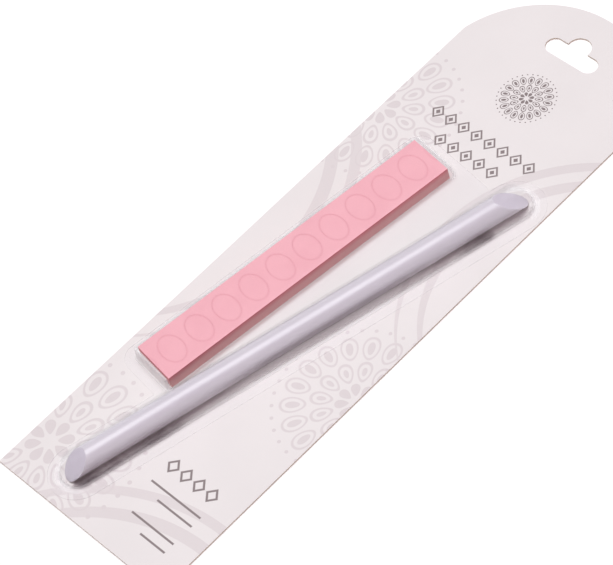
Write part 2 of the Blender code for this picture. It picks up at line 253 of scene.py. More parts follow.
class Wire:
    """An output of a material's nodes. Arithmetic on wires adds Math nodes, and | is the greater of two."""
    __add__ = arithmetic("ADD")
    __radd__ = arithmetic("ADD", turned=True)
    __sub__ = arithmetic("SUBTRACT")
    __rsub__ = arithmetic("SUBTRACT", turned=True)
    __mul__ = arithmetic("MULTIPLY")
    __rmul__ = arithmetic("MULTIPLY", turned=True)
    __truediv__ = arithmetic("DIVIDE")
    __pow__ = arithmetic("POWER")
    __mod__ = arithmetic("FLOORED_MODULO")
    __abs__ = arithmetic("ABSOLUTE")
    __or__ = arithmetic("MAXIMUM")

    def __init__(self, shading, socket):
        self.shading = shading
        self.socket = socket

    def maths(self, operation, *terms):
        return self.shading.node("ShaderNodeMath", {"operation": operation}, dict(enumerate(terms)))

    def step(self, low, high):
        """A smooth step, 0 at low and 1 at high. Low may be the greater."""
        return self.shading.node("ShaderNodeMapRange", {"interpolation_type": "SMOOTHSTEP"},
                                 {"Value": self, "From Min": low, "From Max": high})

    def band(self, start, full, still_full, end):
        """A smooth band, 0 at its start and its end and 1 between."""
        return self.step(start, full) * self.step(end, still_full)


# A Mix node's sockets for two colours and for the colour between them.
MIX_FIRST = 6
MIX_SECOND = 7
MIX_RESULT = 2


class Shading:
    """The nodes of one material or world."""

    def __init__(self, owner):
        owner.use_nodes = True
        self.owner = owner
        self.tree = owner.node_tree
        self.tree.nodes.clear()

    def node(self, kind, settings, sockets, output=0):
        """Add a node: its settings first, then the values or links of its sockets."""
        made = self.tree.nodes.new(kind)
        for name, value in settings.items():
            setattr(made, name, value)
        for key, value in sockets.items():
            if isinstance(value, Wire):
                self.tree.links.new(value.socket, made.inputs[key])
            else:
                made.inputs[key].default_value = value
        return Wire(self, made.outputs[output]) if made.outputs else None

    def blend(self, factor, first, second):
        """A colour between two colours."""
        return self.node("ShaderNodeMix", {"data_type": "RGBA", "clamp_factor": True},
                         {0: factor, MIX_FIRST: paint(first), MIX_SECOND: paint(second)}, output=MIX_RESULT)

    def millimetres(self):
        """Object coordinates in millimetres."""
        place = self.node("ShaderNodeTexCoord", {}, {}, output="Object")
        return self.node("ShaderNodeVectorMath", {"operation": "SCALE"}, {0: place, "Scale": 1.0 / MM})

    def turned(self, place, matrix):
        """Coordinates in millimetres as they read in a place of the frame."""
        origin = matrix.translation / MM
        turn = matrix.to_euler()
        return self.node("ShaderNodeMapping", {"vector_type": "TEXTURE"},
                         {"Vector": place, "Location": origin, "Rotation": turn})

    def axis(self, vector, name):
        """One axis of a vector."""
        return self.node("ShaderNodeSeparateXYZ", {}, {0: vector}, output="XYZ".index(name))

    def facing(self, direction):
        """How squarely a face looks along a direction."""
        normal = self.node("ShaderNodeTexCoord", {}, {}, output="Normal")
        return self.node("ShaderNodeVectorMath", {"operation": "DOT_PRODUCT"},
                         {0: normal, 1: tuple(direction)}, output="Value")

    def noise(self, place, scale, detail=2.0, roughness=0.5, stretch=(1.0, 1.0, 1.0)):
        """Cloudy noise from 0 to 1. Scale counts clouds in a millimetre."""
        drawn = self.node("ShaderNodeVectorMath", {"operation": "MULTIPLY"}, {0: place, 1: stretch})
        return self.node("ShaderNodeTexNoise", {},
                         {"Vector": drawn, "Scale": scale, "Detail": detail, "Roughness": roughness})

    def bump(self, height, distance):
        """Normals bent by a height. Distance is how high 1 stands."""
        return self.node("ShaderNodeBump", {}, {"Strength": 1.0, "Distance": distance, "Height": height})

    def principled(self, sockets):
        return self.node("ShaderNodeBsdfPrincipled", {}, sockets)

    def mix(self, factor, first, second):
        """A shader between two shaders."""
        return self.node("ShaderNodeMixShader", {}, {0: factor, 1: first, 2: second})

    def close(self, shader, output="ShaderNodeOutputMaterial"):
        """Send a shader to the output, and give back the finished owner."""
        self.node(output, {}, {"Surface": shader})
        return self.owner


def paint(value):
    """A colour for a socket: a wire as it is, and red, green and blue with full alpha."""
    return value if isinstance(value, Wire) else (*value, 1.0)


def new_surface(name):
    return Shading(bpy.data.materials.new(name))


# Modelling helpers. Points nearer than this are one, and so are the ends of two outlines that are to join. A
# face looks up when its normal rises more than this. Edges that turn less than this are shaded smooth.
NEAR = 0.001 * MM
JOIN = 0.01 * MM
LOOKS_UP = 0.9
SMOOTH_TURN = math.radians(32.0)


def deselect():
    """Leave edit mode and select nothing."""
    if bpy.context.mode != "OBJECT":
        bpy.ops.object.mode_set(mode="OBJECT")
    bpy.ops.object.select_all(action="DESELECT")


def take(piece):
    """Make one object the only selected one, and the active one."""
    deselect()
    piece.select_set(True)
    bpy.context.view_layer.objects.active = piece


def edit(piece):
    """Go into edit mode with everything selected."""
    take(piece)
    bpy.ops.object.mode_set(mode="EDIT")
    bpy.ops.mesh.select_all(action="SELECT")


def choose(kind, test):
    """In edit mode, select the vertices, edges or faces that pass a test, and nothing else."""
    bpy.ops.mesh.select_mode(type=kind)
    bpy.ops.mesh.select_all(action="DESELECT")
    mesh = bpy.context.edit_object.data
    working = bmesh.from_edit_mesh(mesh)
    for part in {"VERT": working.verts, "EDGE": working.edges, "FACE": working.faces}[kind]:
        if test(part):
            part.select_set(True)
    bmesh.update_edit_mesh(mesh)


def soften(piece, turn, radius, steps):
    """Round the edges of a piece that turn more than a limit."""
    edit(piece)
    choose("EDGE", lambda edge: edge.is_manifold and edge.calc_face_angle() > turn)
    bpy.ops.mesh.bevel(offset=radius, segments=steps, affect="EDGES")


def named(name):
    """Name the new active object and its mesh."""
    piece = bpy.context.active_object
    piece.name = name
    piece.data.name = name
    return piece


def flat_outline(name, half_width, half_length, corner, steps):
    """A flat face about the origin with round corners."""
    deselect()
    bpy.ops.mesh.primitive_plane_add(size=2.0)
    piece = named(name)
    edit(piece)
    bpy.ops.transform.resize(value=(half_width, half_length, 1.0))
    bpy.ops.mesh.bevel(offset=corner, segments=steps, affect="VERTICES", clamp_overlap=False)
    bpy.ops.mesh.remove_doubles(threshold=NEAR)
    deselect()
    return piece


def thicken(piece, low, high):
    """Move a flat face to one height and pull it up to another."""
    edit(piece)
    bpy.ops.transform.translate(value=(0.0, 0.0, low))
    bpy.ops.mesh.extrude_region_move(TRANSFORM_OT_translate={"value": (0.0, 0.0, high - low)})
    bpy.ops.mesh.select_all(action="SELECT")
    bpy.ops.mesh.normals_make_consistent(inside=False)
    deselect()


def settle(piece, place):
    """Put a piece at a place and write the place into its mesh."""
    take(piece)
    piece.matrix_world = place @ piece.matrix_world
    bpy.ops.object.transform_apply(location=True, rotation=True, scale=True)


def combine(piece, tool, operation):
    """Join a tool to a piece, or cut it away, and remove the tool."""
    take(piece)
    step = piece.modifiers.new(operation.title(), "BOOLEAN")
    step.operation = operation
    step.solver = "EXACT"
    step.object = tool
    bpy.ops.object.modifier_apply(modifier=step.name)
    bpy.data.objects.remove(tool, do_unlink=True)


def smooth(piece):
    """Shade a piece smooth where it turns little, with large faces kept flat."""
    take(piece)
    bpy.ops.object.shade_smooth_by_angle(angle=SMOOTH_TURN)
    step = piece.modifiers.new("Weighted normals", "WEIGHTED_NORMAL")
    step.keep_sharp = True
    bpy.ops.object.modifier_apply(modifier=step.name)


def dress(piece, surface, body, slot, *nodes):
    """Give a piece its finish, and say what it rides on and stands for."""
    piece.data.materials.clear()
    piece.data.materials.append(surface)
    if len(piece.data.polygons) == 0:
        raise RuntimeError(f"{piece.name} has no faces")
    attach(piece, body)
    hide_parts(*nodes)


# Print on the card, in millimetres: middles and sizes of the rosettes, and middles, radii and shifts of the
# crescents.
ROSETTES = (((-27.0, -97.0), 29.0), ((34.0, -34.0), 24.0), ((-34.0, 46.0), 25.0), ((33.0, 98.0), 15.0))
CRESCENTS = (((-72.0, -10.0), 54.0, (-3.4, -1.2)), ((-72.0, -10.0), 61.0, (-2.4, -1.6)),
             ((64.0, 26.0), 46.0, (2.8, -1.4)), ((64.0, 26.0), 52.5, (2.0, -1.6)),
             ((34.0, -150.0), 58.0, (0.6, -3.2)), ((34.0, -150.0), 65.0, (0.6, -2.4)))
CRESCENT_LESS = 0.5
CRESCENT_TONE = 0.8
# Rings of a rosette: radius, count, half length and half width of its petals, and how much of each is
# hollow. Lengths are shares of the rosette's size.
PETAL_RINGS = ((0.17, 8, 0.085, 0.052, 0.0), (0.42, 12, 0.145, 0.088, 0.74), (0.42, 12, 0.06, 0.03, 0.0),
               (0.75, 18, 0.165, 0.108, 0.80), (0.75, 18, 0.09, 0.045, 0.0), (1.0, 36, 0.024, 0.024, 0.0))
PETAL_SOFT = 0.05
# Ornaments: a medallion, rows of lozenges (middle, count, pitch, half sizes and hollow) and rules (right
# end, height, half length and half width).
MEDALLION = ((0.0, 74.0), 9.0)
LOZENGE_ROWS = (((0.0, 55.0), 8, 5.2, (2.3, 2.6), 0.70), ((0.0, 55.0), 8, 5.2, (0.8, 0.9), 0.0),
                ((0.0, 47.6), 5, 5.2, (2.3, 2.6), 0.70), ((0.0, 47.6), 5, 5.2, (0.8, 0.9), 0.0),
                ((15.5, -80.5), 4, 5.2, (2.3, 2.6), 0.62))
LOZENGE_SOFT = 0.06
ROW_END_SOFT = 0.01
RULES = ((26.0, -87.6, 10.0, 0.32), (26.0, -91.0, 7.0, 0.32), (26.0, -98.0, 8.5, 0.32),
         (26.0, -101.4, 5.0, 0.32))
SOFT_EDGE = 0.09


def disc(shading, flat, middle, radius):
    """A filled circle of print."""
    gap = shading.node("ShaderNodeVectorMath", {"operation": "DISTANCE"},
                       {0: flat, 1: (middle[0], middle[1], 0.0)}, output="Value")
    return gap.step(radius + SOFT_EDGE, radius - SOFT_EDGE)


def crescent(shading, flat, middle, radius, shift):
    """A circle of print with a shifted circle left out of it."""
    hollow = (middle[0] + shift[0], middle[1] + shift[1])
    return disc(shading, flat, middle, radius) * (1.0 - disc(shading, flat, hollow, radius - CRESCENT_LESS))


def rosette(shading, flat, middle, size):
    """Rings of petals about a middle."""
    x = (shading.axis(flat, "X") - middle[0]) / size
    y = (shading.axis(flat, "Y") - middle[1]) / size
    out = (x * x + y * y) ** 0.5
    turn = x.maths("ARCTAN2", y, x) * (1.0 / math.tau)
    rings = []
    for radius, count, half_long, half_wide, hollow in PETAL_RINGS:
        turns = turn * count
        aside = (turns - turns.maths("ROUND", turns)) * (math.tau * radius / count / half_wide)
        off = (out - radius) * (1.0 / half_long)
        rim = (aside * aside + off * off) ** 0.5
        drawn = rim.step(1.0 + PETAL_SOFT, 1.0 - PETAL_SOFT)
        if hollow:
            drawn = drawn * rim.step(hollow - PETAL_SOFT, hollow + PETAL_SOFT)
        rings.append(drawn)
    return reduce(or_, rings)


def chain(shading, flat, middle, count, pitch, half, hollow):
    """A row of lozenges about a middle. Hollow is how much of each is left out."""
    x = shading.axis(flat, "X") - middle[0]
    y = shading.axis(flat, "Y") - middle[1]
    aside = ((x / pitch + count / 2) % 1.0 - 0.5) * (pitch / half[0])
    rim = abs(aside) + abs(y / half[1])
    row_end = count * pitch / 2
    drawn = rim.step(1.0 + LOZENGE_SOFT, 1.0 - LOZENGE_SOFT) * abs(x).step(row_end, row_end - ROW_END_SOFT)
    if hollow:
        drawn = drawn * rim.step(hollow - LOZENGE_SOFT, hollow + LOZENGE_SOFT)
    return drawn


def bar(shading, flat, right_end, height, half_length, half_width):
    """A straight rule of print."""
    x = abs(shading.axis(flat, "X") - (right_end - half_length))
    y = abs(shading.axis(flat, "Y") - height)
    across = y.step(half_width + SOFT_EDGE, half_width - SOFT_EDGE)
    return x.step(half_length + SOFT_EDGE, half_length - SOFT_EDGE) * across


def tone_print(shading, flat):
    """Pale rosettes and crescents."""
    masks = [rosette(shading, flat, *each) for each in ROSETTES]
    masks += [CRESCENT_TONE * crescent(shading, flat, *each) for each in CRESCENTS]
    return reduce(or_, masks)


def ornament_print(shading, flat):
    """Dark ornaments: a medallion over rows of lozenges, and a block of lozenges over short rules."""
    masks = [rosette(shading, flat, *MEDALLION)]
    masks += [chain(shading, flat, *each) for each in LOZENGE_ROWS]
    masks += [bar(shading, flat, *each) for each in RULES]
    return reduce(or_, masks)


# Board: a pair says where a mask starts and where it is full. Tones scale a colour, wear is how much of the
# print is missing where it is worst, and a share is how much of the next colour comes in.
LEVEL_FACE = (0.55, 0.8)
BOARD_CLOUDS = (0.35, 0.7)
BOARD_CLOUD_TONE = 0.975
TONE_WEAR = 0.22
INK_WEAR = 0.1
FIBRE_SHOWN = (0.62, 0.85)
FIBRE_SHARE = 0.10
LAYERS_SHOWN = (0.3, 0.75)
LAYER_TONE = 1.35
BACK_FIBRE_SHOWN = (0.4, 0.75)
BACK_FIBRE_TONE = 0.9
CUT_ROUGHNESS = 0.45
FIBRE_ROUGHNESS = 0.10
SPECK_RELIEF = 0.4
BOARD_RELIEF = 0.012 * MM
BOARD_SPECULAR = 0.4


def toned(value, tone):
    """A colour with all its parts scaled."""
    return [part * tone for part in value]


def card_surface(look):
    """Coated board printed on its face, with a fibrous cut edge and a plain back."""
    shading = new_surface("printed_board")
    place = shading.millimetres()
    flat = shading.node("ShaderNodeVectorMath", {"operation": "MULTIPLY"}, {0: place, 1: (1.0, 1.0, 0.0)})
    upward = shading.facing(UP)
    face = upward.step(*LEVEL_FACE)
    back = upward.step(*(-limit for limit in LEVEL_FACE))
    clouds = shading.noise(flat, scale=0.035, detail=3.0)
    fibre = shading.noise(place, scale=1.9, detail=5.0, roughness=0.65, stretch=(1.0, 0.35, 1.0))
    speck = shading.noise(place, scale=9.0, detail=2.0)
    layers = shading.noise(place, scale=3.0, detail=4.0, stretch=(1.0, 1.0, 9.0))
    ground = shading.blend(clouds.step(*BOARD_CLOUDS), look.board, toned(look.board, BOARD_CLOUD_TONE))
    tone = tone_print(shading, flat) * (1.0 - TONE_WEAR + TONE_WEAR * clouds)
    ground = shading.blend(tone, ground, look.tone)
    ink = ornament_print(shading, flat) * (1.0 - INK_WEAR + INK_WEAR * speck)
    ground = shading.blend(ink, ground, look.ink)
    ground = shading.blend(fibre.step(*FIBRE_SHOWN) * FIBRE_SHARE, ground, look.tone)
    cut = shading.blend(layers.step(*LAYERS_SHOWN), look.core, toned(look.core, LAYER_TONE))
    plain = shading.blend(fibre.step(*BACK_FIBRE_SHOWN), look.back, toned(look.back, BACK_FIBRE_TONE))
    drawn = shading.blend(back, shading.blend(face, cut, ground), plain)
    rough = look.gloss + CUT_ROUGHNESS * (1.0 - face) + FIBRE_ROUGHNESS * (fibre - 0.5)
    normal = shading.bump(fibre + SPECK_RELIEF * speck, BOARD_RELIEF)
    shader = shading.principled({"Base Color": drawn, "Roughness": rough, "Normal": normal,
                                 "Specular IOR Level": BOARD_SPECULAR})
    return shading.close(shader)


ARCH_STEPS = 120
SLOT_STEPS = 32
BUMP_STEPS = 24
EDGE_STEPS = 2
CUT_TURN = math.radians(60.0)


class CARDED_OT_backing_card(bpy.types.Operator):
    """Model the printed card with its arched top and hang hole"""
    bl_idname = "carded.backing_card"
    bl_label = "Backing Card"

    def execute(self, context):
        look = context.scene.carded_set.card
        half = CARD_WIDTH / 2
        shoulder_y = CARD_HIGH.y - look.arch_rise
        radius = (half ** 2 + look.arch_rise ** 2) / (2 * look.arch_rise)
        centre = Vector((0.0, CARD_HIGH.y - radius, 0.0))
        start = math.atan2(shoulder_y - centre.y, half)
        deselect()
        bpy.ops.mesh.primitive_plane_add(size=2.0)
        card = named("printed_card")
        edit(card)
        bpy.ops.transform.resize(value=(half, (shoulder_y - CARD_LOW.y) / 2, 1.0))
        bpy.ops.transform.translate(value=(0.0, (shoulder_y + CARD_LOW.y) / 2, 0.0))
        choose("EDGE", lambda edge: all(abs(end.co.y - shoulder_y) < NEAR for end in edge.verts))
        bpy.ops.mesh.delete(type="EDGE")
        choose("VERT", lambda end: abs(end.co.y - shoulder_y) < NEAR and end.co.x > 0)
        bpy.ops.mesh.spin(steps=ARCH_STEPS, angle=math.pi - 2 * start, center=centre, axis=(0.0, 0.0, -1.0))
        bpy.ops.mesh.select_all(action="SELECT")
        bpy.ops.mesh.remove_doubles(threshold=JOIN)
        bpy.ops.mesh.edge_face_add()
        thicken(card, CARD_LOW.z, CARD_HIGH.z)
        slot_y = CARD_HIGH.y - look.slot_drop
        slot_round = look.slot_height / 2
        slot = flat_outline("slot_tool", look.slot_length / 2, slot_round, slot_round, SLOT_STEPS)
        bump = flat_outline("bump_tool", look.bump_radius, look.bump_radius, look.bump_radius, BUMP_STEPS)
        for tool, y in ((slot, slot_y), (bump, slot_y + look.bump_rise)):
            thicken(tool, -CARD_THICKNESS, 2 * CARD_THICKNESS)
            settle(tool, Matrix.Translation((0.0, y, CARD_LOW.z)))
            combine(card, tool, "DIFFERENCE")
        soften(card, CUT_TURN, look.edge_round, EDGE_STEPS)
        smooth(card)
        dress(card, card_surface(look), "card", "printed_board", "backing_card")
        return {"FINISHED"}


# Plastic: a pair says where a mask starts and where it is full, and a share is how much of the next colour
# comes in.
FLAT_TURN = (0.25, 0.4)
FLOW_STREAKS = (0.35, 0.75)
STREAK_SHARE = 0.55
CLOUD_SHARE = 0.35
FLAT_SHADE_SHARE = 0.8
FLAT_GRAIN = 0.4
STREAK_ROUGHNESS = 0.07
FINE_ROUGHNESS = 0.05
STREAK_RELIEF = 0.7
FINE_RELIEF = 0.3
MOULD_RELIEF = 0.003 * MM
PLASTIC_IOR = 1.6
DEPTH_SHARE = 0.3


def pusher_surface(look):
    """Glossy lavender plastic with faint flow streaks along the rod, and rougher flats with painted shade in
    their colour.
    """
    shading = new_surface("lavender_plastic")
    place = shading.turned(shading.millimetres(), ROD_PLACE)
    streaks = shading.noise(place, scale=0.5, detail=3.0, stretch=(1.0, 0.06, 1.0))
    clouds = shading.noise(place, scale=0.12, detail=2.0)
    fine = shading.noise(place, scale=7.0, detail=3.0, stretch=(1.0, 0.12, 1.0))
    on_flat = abs(shading.facing(ROD_AXIS)).step(*FLAT_TURN)
    clouded = STREAK_SHARE * streaks.step(*FLOW_STREAKS) + CLOUD_SHARE * clouds
    drawn = shading.blend(clouded, look.body, look.cloud)
    # Painted shade: the flats are blended towards the darker flat colour.
    drawn = shading.blend(on_flat * (FLAT_SHADE_SHARE + FLAT_GRAIN * (fine - 0.5)), drawn, look.flat_shade)
    rough = look.gloss + (look.flat_gloss - look.gloss) * on_flat
    rough = rough + STREAK_ROUGHNESS * (streaks - 0.5) + FINE_ROUGHNESS * (fine - 0.5)
    normal = shading.bump(STREAK_RELIEF * streaks + FINE_RELIEF * fine, MOULD_RELIEF)
    shader = shading.principled({"Base Color": drawn, "Roughness": rough, "Normal": normal,
                                 "IOR": PLASTIC_IOR, "Subsurface Weight": DEPTH_SHARE,
                                 "Subsurface Radius": WHITE, "Subsurface Scale": look.depth})
    return shading.close(shader)


ROD_SIDES = 144
RIM_STEPS = 3
RIM_TURN = math.radians(20.0)


class CARDED_OT_pusher(bpy.types.Operator):
    """Model the round pusher with a slanted flat at each end"""
    bl_idname = "carded.pusher"
    bl_label = "Pusher"

    def execute(self, context):
        look = context.scene.carded_set.pusher
        deselect()
        spare = 2 * ROD_RADIUS
        bpy.ops.mesh.primitive_cylinder_add(vertices=ROD_SIDES, radius=ROD_RADIUS,
                                            depth=ROD_LENGTH + 2 * spare,
                                            location=(0.0, ROD_LENGTH / 2, 0.0),
                                            rotation=(math.pi / 2, 0.0, 0.0))
        rod = named("pusher_rod")
        bpy.ops.object.transform_apply(location=True, rotation=True, scale=True)
        for tip, cut, heading in ((0.0, look.lower_cut, -1), (ROD_LENGTH, look.upper_cut, 1)):
            edit(rod)
            bpy.ops.mesh.bisect(plane_co=(0.0, tip, -ROD_RADIUS),
                                plane_no=(0.0, heading * math.sin(cut), math.cos(cut)),
                                use_fill=True, clear_outer=True)
        soften(rod, RIM_TURN, look.rim_round, RIM_STEPS)
        settle(rod, ROD_PLACE)
        smooth(rod)
        dress(rod, pusher_surface(look), "pusher", "lavender_plastic", "pusher")
        return {"FINISHED"}


# Abrasive: a pair says where a mask starts and where it is full, and a share is how much of the next colour
# comes in.
# The grit's scale counts grains in a millimetre, the sizes of the painted shade along each kiss cut are
# shares of a tab's half size, and the low sheets' height and the liner's soft edge are in millimetres.
GRIT_SCALE = 4.5
GRAINS_SHOWN = (0.52, 0.78)
GRAIN_SHARE = 0.5
GRIT_SHOWN = (0.22, 0.05)
GRIT_SHARE = 0.35
CLOUDS_SHOWN = (0.35, 0.75)
ABRASIVE_CLOUD_SHARE = 0.24
KISS_CUT_SHADE_SHARE = 0.48
RING_WIDTH = (0.15, 0.0)
RING_WANDER = 0.1
UPRIGHT_SIDE = (0.3, 0.6)
SIDE_SHADE_SHARE = 0.8
LOW_SHEETS = 2.0
LINER_SOFT = 0.03
LINER_SHARE = 0.7
GRIT_RELIEF = 0.6
ABRASIVE_RELIEF = 0.05 * MM
ABRASIVE_ROUGHNESS = 0.86
GRAIN_ROUGHNESS = 0.12
ABRASIVE_SPECULAR = 0.25


def abrasive_surface(name, look):
    """Pink abrasive with fine grit, over the paler edge of its liner, with painted shade: a darker line
    along each tab's kiss cut, and cut sides painted darker on the upper sheets and lighter low down.
    """
    shading = new_surface(name)
    place = shading.millimetres()
    grit = shading.node("ShaderNodeTexVoronoi", {"feature": "F1"}, {"Vector": place, "Scale": GRIT_SCALE},
                        output="Distance")
    grains = shading.noise(place, scale=6.0, detail=4.0, roughness=0.7)
    clouds = shading.noise(place, scale=0.14, detail=3.0)
    drawn = shading.blend(grains.step(*GRAINS_SHOWN) * GRAIN_SHARE, look.pink, look.grit)
    drawn = shading.blend(grit.step(*GRIT_SHOWN) * GRIT_SHARE, drawn, look.bright)
    drawn = shading.blend(clouds.step(*CLOUDS_SHOWN) * ABRASIVE_CLOUD_SHARE, drawn, look.grit)
    by_sheet = shading.turned(place, SHEET_PLACE)
    across = shading.axis(by_sheet, "X") / (TAB_ACROSS / MM / 2)
    along = (shading.axis(by_sheet, "Y") / (TAB_PITCH / MM) % 1.0 - 0.5) * (TAB_PITCH / (TAB_ALONG / 2))
    rim = (across * across + along * along) ** 0.5
    # Painted shade: a thin darker line along each tab's kiss cut, in the grit's colour.
    kiss_cut_shade = abs(rim - 1.0 + RING_WANDER * (clouds - 0.5)).step(*RING_WIDTH)
    drawn = shading.blend(KISS_CUT_SHADE_SHARE * kiss_cut_shade, drawn, look.grit)
    height = (shading.axis(place, "Z") - (SHEET_LOW.z / MM)) % (SHEET_PITCH / MM)
    # Painted shade on the upright cut sides: the upper sheets' sides darker, the lower ones lighter.
    side = 1.0 - abs(shading.facing(UP)).step(*UPRIGHT_SIDE)
    stacked = shading.axis(place, "Z").step(CARD_HIGH.z / MM + LOW_SHEETS, SHEET_HIGH.z / MM)
    liner = height.step(look.liner / MM + LINER_SOFT, look.liner / MM - LINER_SOFT) * side
    drawn = shading.blend(SIDE_SHADE_SHARE * side, drawn, shading.blend(stacked, look.shaded_lower_side, look.shaded_upper_side))
    drawn = shading.blend(LINER_SHARE * liner, drawn, look.shaded_liner_edge)
    rough = ABRASIVE_ROUGHNESS + GRAIN_ROUGHNESS * grains
    normal = shading.bump(grains - GRIT_RELIEF * grit, ABRASIVE_RELIEF)
    shader = shading.principled({"Base Color": drawn, "Roughness": rough, "Normal": normal,
                                 "Specular IOR Level": ABRASIVE_SPECULAR})
    return shading.close(shader)


TAB_SIDES = 96


def oval_block(name, across, along, low, high):
    """An upright block with an oval outline about the origin."""
    deselect()
    bpy.ops.mesh.primitive_cylinder_add(vertices=TAB_SIDES, radius=1.0, depth=1.0, end_fill_type="NGON")
    block = named(name)
    edit(block)
    bpy.ops.transform.resize(value=(across / 2, along / 2, high - low))
    bpy.ops.transform.translate(value=(0.0, 0.0, (low + high) / 2))
    deselect()
    return block


def tab_steps():
    """Middles of the top sheet's tabs along the sheet, in the sheet's place."""
    steps = []
    for number in range(1, TAB_COUNT + 1):
        low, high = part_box(f"sheet_1_tab_{number:02d}")
        steps.append(((low + high) / 2 - SHEET_PLACE.translation).dot(SHEET_AXIS))
    return steps


def copy_along(block, name, step):
    """A copy of a block with its own mesh, moved along the sheet."""
    take(block)
    bpy.ops.object.duplicate(linked=False)
    made = named(name)
    edit(made)
    bpy.ops.transform.translate(value=(0.0, step, 0.0))
    deselect()
    return made


class CARDED_OT_tab_sheets(bpy.types.Operator):
    """Model the top tab sheet with its ten tabs, and finish the sheets under it"""
    bl_idname = "carded.tab_sheets"
    bl_label = "Tab Sheets"

    def execute(self, context):
        look = context.scene.carded_set.sheets
        carrier_surface = abrasive_surface("abrasive_carrier", look)
        tab_surface = abrasive_surface("abrasive_tab", look)
        deselect()
        bpy.ops.mesh.primitive_cube_add(size=1.0)
        carrier = named("top_sheet")
        edit(carrier)
        bpy.ops.transform.resize(value=(SHEET_WIDTH, SHEET_LENGTH, SHEET_THICKNESS))
        bpy.ops.transform.translate(value=(0.0, 0.0, SHEET_THICKNESS / 2))
        bpy.ops.mesh.bevel(offset=look.edge_round, segments=EDGE_STEPS, affect="EDGES")
        cut = 2 * look.kiss_cut
        punch = oval_block("tab_punch", TAB_ACROSS + cut, TAB_ALONG + cut, look.liner, 2 * SHEET_THICKNESS)
        tab = oval_block("tab", TAB_ACROSS, TAB_ALONG, TAB_LOW.z - SHEET_LOW.z, TAB_HIGH.z - SHEET_LOW.z)
        soften(tab, CUT_TURN, look.edge_round, EDGE_STEPS)
        for number, step in enumerate(tab_steps(), start=1):
            combine(carrier, copy_along(punch, "punch", step), "DIFFERENCE")
            made = copy_along(tab, f"top_tab_{number:02d}", step)
            settle(made, SHEET_PLACE)
            smooth(made)
            dress(made, tab_surface, "tab_pad", "abrasive_tab", f"sheet_1_tab_{number:02d}")
        for pattern in (punch, tab):
            bpy.data.objects.remove(pattern, do_unlink=True)
        settle(carrier, SHEET_PLACE)
        smooth(carrier)
        dress(carrier, carrier_surface, "tab_pad", "abrasive_carrier", "sheet_1_carrier")
        for sheet in range(2, SHEET_COUNT + 1):
            frame["nodes"][f"sheet_{sheet}_carrier"].material_slots[0].material = carrier_surface
            for number in range(1, TAB_COUNT + 1):
                frame["nodes"][f"sheet_{sheet}_tab_{number:02d}"].material_slots[0].material = tab_surface
        return {"FINISHED"}


def crown_inset(height, crown, draft):
    """How far in from the foot of a drafted wall its round crown is centred."""
    return crown / math.cos(draft) + (height - crown) * math.tan(draft)


def rod_pod_half(look):
    """Half the width inside the rod's pod at its foot."""
    return crown_inset(look.rod_room, ROD_RADIUS + look.rod_top_room, look.rod_draft) + look.rod_ridge / 2


# Masks over the film, in millimetres. A pair says where a mask starts and where it is full. Four numbers say
# where a band starts, is full, is still full and ends. Heights over the card:
FLANGE_HEIGHTS = (0.62, 0.45)
FOOT_HEIGHTS = (0.34, 0.5, 0.8, 1.3)
LOW_WALL_HEIGHTS = (0.34, 0.7, 3.4, 3.9)
WALL_BASE_HEIGHTS = (3.0, 1.2)
HIGH_WALL_HEIGHTS = (3.4, 3.9, 4.9, 5.4)
FAR_SIDE_HEIGHTS = (0.9, 2.0)
GLINT_HEIGHTS = (4.0, 4.6, 5.0, 5.6)
CROWN_HEIGHTS = (5.5, 7.5)
RIM_HEIGHTS = (2.6, 1.6)
CUT_HEIGHTS = (0.5, 0.4)
NEAR_EDGE_HEIGHTS = (3.0, 4.0)
END_WALL_HEIGHTS = (0.9, 1.3)
FAR_RIM_HEIGHTS = (4.5, 4.8)
FAR_EDGE_HEIGHTS = (2.0, 3.5)
# Stretches along the rod, which wander, and the rod's right and left sides:
WANDER = 26.0
# The rod pod's middle stretch, where painted reflections and painted shade are laid:
PAINTED_MIDDLE_STRETCH = (42.0, 70.0, 100.0, 126.0)
# Where painted shadow is laid deepest along the rod:
LOWER_SHADOW_STRETCH = (40.0, 28.0)
UPPER_SHADOW_STRETCH = (124.0, 130.0, 136.0, 142.0)
FOOT_RIGHT = (3.0, 4.0)
LOW_WALL_RIGHT = (3.6, 4.2)
HIGH_WALL_RIGHT = (3.0, 3.6)
FAR_SIDE_LEFT = (-1.0, -2.5)
FAR_SIDE_FOOT = (-6.5, -6.0)
# Past the straight of the rod's pod, and out from the foot of its wall:
FAR_SIDE_END = (2.0, 0.0)
RIM_END = (0.5, 3.5)
RIM_OUT = (-0.6, 0.3, 1.4, 2.2)
# Out from the sheets' near side, far side and ends:
NEAR_EDGE = (-0.7, -0.2, 1.5, 2.5)
NEAR_SIDE = (-0.2, 0.0, 2.2, 2.6)
NEAR_SIDE_END = (1.0, 0.0)
FAR_RIM = (-0.2, 0.0)
FAR_EDGE = (-0.4, -0.1)
POD_SIDE = (1.5, 1.0)
POD_END = (2.6, 2.2)
END_WALL = (0.5, 0.9)
# How level a face is:
OUTER_FACE = (0.0, 0.06)
LEVEL_FILM = (0.5, 0.9)
CUT_FACE = (0.1, 0.3)
SHADOW_PATCHES = (0.38, 0.62)
# How white each stretch of film is: real whitening where it was stretched or cut, and painted highlights and
# reflections:
LEAST_BLOOM = 0.003
FOOT_WHITENING_AND_HIGHLIGHT = 0.55
FOOT_RIPPLE = 0.25
PLAIN_FOOT_LESS = 0.75
RIM_HIGHLIGHT = 0.2
LOW_WALL_REFLECTION = 0.2
GLINT_HIGHLIGHT = 0.1
END_WALL_REFLECTION = 0.4
FAR_RIM_HIGHLIGHT = 0.12
CUT_BLOOM = 0.25
